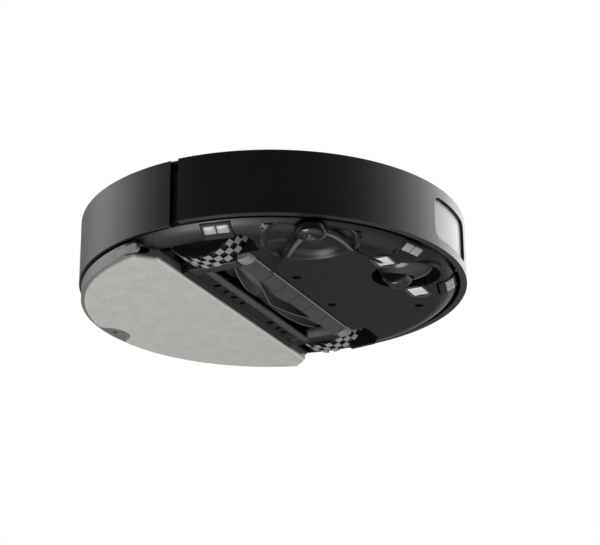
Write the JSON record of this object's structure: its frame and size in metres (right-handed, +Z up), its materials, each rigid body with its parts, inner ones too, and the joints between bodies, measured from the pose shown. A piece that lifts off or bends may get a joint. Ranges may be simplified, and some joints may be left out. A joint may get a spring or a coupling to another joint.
{
  "type": "robot vacuum",
  "caption": "Round disc-shaped robot vacuum with a wide front bumper, drive wheels, a roller brush, a side brush, a caster and a D-shaped mopping pad.",
  "frame": {"origin": "on the floor, under the centre of the round body, with both drive wheels' axles above the X axis", "axes": "+Z up, front of the robot towards -Y, the robot's own left towards +X"},
  "size_m": [0.35, 0.3452, 0.097],
  "materials": {
    "shell_black": "satin black moulding",
    "deck_black": "fine matt",
    "base_black": "fine spark-eroded grain",
    "frame_grey": "matt, fine ridges",
    "window_grey": "smooth infrared window",
    "indicator_red": "smooth",
    "brush_rubber": "soft rubber",
    "brush_core_grey": "moulded",
    "paddle_grey": "soft rubber",
    "bristle_black": "nylon bristles",
    "tyre_rubber": "rubber with raised blocks",
    "hub_plastic": "moulded",
    "caster_plastic": "smooth",
    "contact_metal": "nickel plated",
    "steel": "turned",
    "sensor_black": "smooth, with two lenses",
    "pad_fabric": "short-pile suede-like microfibre",
    "holder_grey": "slightly translucent",
    "button_grey": "satin",
    "bin_smoke": "smoked",
    "filter_paper": "pleated paper",
    "battery_wrap": "shrink wrap",
    "board_green": "solder mask",
    "motor_steel": "zinc plated"
  },
  "bodies": {
    "chassis": {"chassis_base": "base_black", "front_frame": "deck_black", "rear_casing": "shell_black", "top_cover": "deck_black", "lid_hinge_pin": "steel", "lidar_base": "base_black", "lidar_cover": "deck_black", "lidar_motor": "motor_steel", "brush_bay": "base_black", "brush_bearings": "brush_core_grey", "brush_gearbox": "hub_plastic", "side_brush_motor": "motor_steel", "wheel_well_left": "base_black", "wheel_well_right": "base_black", "suspension_pins": "steel", "caster_socket": "base_black", "charging_contacts": "contact_metal", "cliff_sensor_front_left": "sensor_black", "cliff_sensor_front_right": "sensor_black", "cliff_sensor_rear_left": "sensor_black", "cliff_sensor_rear_right": "sensor_black", "dust_bin": "bin_smoke", "bin_lid": "bin_smoke", "intake_duct": "base_black", "bin_filter": "filter_paper", "suction_fan": "motor_steel", "water_tank": "bin_smoke", "battery": "battery_wrap", "main_board": "board_green", "bumper_switches": "brush_core_grey", "bumper_springs": "steel", "base_screws": "steel"},
    "bumper": {"bumper": "shell_black", "front_window": "window_grey", "bumper_light": "indicator_red"},
    "lid": {"dust_lid": "deck_black"},
    "power_button": {"power_button": "button_grey"},
    "home_button": {"home_button": "button_grey"},
    "lidar_rotor": {"lidar_rotor": "sensor_black"},
    "main_brush": {"brush_core": "brush_core_grey", "brush_fins": "brush_rubber"},
    "brush_cover": {"brush_cover": "frame_grey"},
    "cover_latch_left": {"cover_latch_left": "frame_grey"},
    "cover_latch_right": {"cover_latch_right": "frame_grey"},
    "side_brush": {"side_brush_hub": "paddle_grey", "side_brush_bristles": "bristle_black", "side_brush_screw": "steel"},
    "drive_arm_left": {"drive_arm_left": "hub_plastic"},
    "drive_arm_right": {"drive_arm_right": "hub_plastic"},
    "wheel_left": {"wheel_hub_left": "hub_plastic", "tyre_left": "tyre_rubber"},
    "wheel_right": {"wheel_hub_right": "hub_plastic", "tyre_right": "tyre_rubber"},
    "caster": {"caster_fork": "caster_plastic", "caster_axle": "steel"},
    "caster_wheel": {"caster_wheel": "caster_plastic"},
    "mop_plate": {"mop_holder": "holder_grey", "mop_pad": "pad_fabric"},
    "mop_button_left": {"mop_button_left": "button_grey"},
    "mop_button_right": {"mop_button_right": "button_grey"}
  },
  "joints": [
    {"name": "bumper_press", "type": "slide", "parent": "chassis", "child": "bumper", "axis": [0, 1, 0], "range_m": [0, 0.0035], "stiffness_N_per_m": 400, "springref_m": -0.002, "deforming": ["bumper_springs"]},
    {"name": "lid_hinge", "type": "hinge", "parent": "chassis", "child": "lid", "pos_m": [0, 0.038, 0.076], "axis": [1, 0, 0], "range_deg": [0, 80]},
    {"name": "power_button_press", "type": "slide", "parent": "chassis", "child": "power_button", "axis": [0, 0, -1], "range_m": [0, 0.0012], "stiffness_N_per_m": 400, "springref_m": -0.001},
    {"name": "home_button_press", "type": "slide", "parent": "chassis", "child": "home_button", "axis": [0, 0, -1], "range_m": [0, 0.0012], "stiffness_N_per_m": 400, "springref_m": -0.001},
    {"name": "lidar_spin", "type": "hinge", "parent": "chassis", "child": "lidar_rotor", "pos_m": [0, -0.03, 0.082], "axis": [0, 0, 1], "continuous": true},
    {"name": "main_brush_spin", "type": "hinge", "parent": "chassis", "child": "main_brush", "pos_m": [0, -0.0055, 0.024], "axis": [1, 0, 0], "continuous": true},
    {"name": "brush_cover_release", "type": "slide", "parent": "chassis", "child": "brush_cover", "axis": [0, 0, -1], "range_m": [0, 0.03], "deforming": ["side_brush_bristles"]},
    {"name": "cover_latch_left_press", "type": "slide", "parent": "brush_cover", "child": "cover_latch_left", "axis": [-1, 0, 0], "range_m": [0, 0.002], "stiffness_N_per_m": 400, "springref_m": -0.001},
    {"name": "cover_latch_right_press", "type": "slide", "parent": "brush_cover", "child": "cover_latch_right", "axis": [1, 0, 0], "range_m": [0, 0.002], "stiffness_N_per_m": 400, "springref_m": -0.001},
    {"name": "side_brush_spin", "type": "hinge", "parent": "chassis", "child": "side_brush", "pos_m": [-0.1245, -0.097, 0.008], "axis": [0, 0, 1], "continuous": true},
    {"name": "suspension_left", "type": "hinge", "parent": "chassis", "child": "drive_arm_left", "pos_m": [0.138, -0.0425, 0.056], "axis": [-1, 0, 0], "range_deg": [0, 14], "stiffness_Nm_per_rad": 0.34, "springref_deg": 28.65},
    {"name": "wheel_spin_left", "type": "hinge", "parent": "drive_arm_left", "child": "wheel_left", "pos_m": [0.1215, 0, 0.036], "axis": [1, 0, 0], "continuous": true},
    {"name": "suspension_right", "type": "hinge", "parent": "chassis", "child": "drive_arm_right", "pos_m": [-0.138, -0.0425, 0.056], "axis": [-1, 0, 0], "range_deg": [0, 14], "stiffness_Nm_per_rad": 0.34, "springref_deg": 28.65},
    {"name": "wheel_spin_right", "type": "hinge", "parent": "drive_arm_right", "child": "wheel_right", "pos_m": [-0.1215, 0, 0.036], "axis": [1, 0, 0], "continuous": true},
    {"name": "caster_swivel", "type": "hinge", "parent": "chassis", "child": "caster", "pos_m": [0, -0.13, 0.04], "axis": [0, 0, 1], "continuous": true},
    {"name": "caster_roll", "type": "hinge", "parent": "caster", "child": "caster_wheel", "pos_m": [0, -0.122, 0.013], "axis": [1, 0, 0], "continuous": true},
    {"name": "mop_plate_release", "type": "slide", "parent": "chassis", "child": "mop_plate", "axis": [0, 1, 0], "range_m": [0, 0.15]},
    {"name": "mop_button_left_press", "type": "slide", "parent": "mop_plate", "child": "mop_button_left", "axis": [-0.9412, -0.3379, 0], "range_m": [0, 0.002], "stiffness_N_per_m": 400, "springref_m": -0.001},
    {"name": "mop_button_right_press", "type": "slide", "parent": "mop_plate", "child": "mop_button_right", "axis": [0.9412, -0.3379, 0], "range_m": [0, 0.002], "stiffness_N_per_m": 400, "springref_m": -0.001}
  ]
}
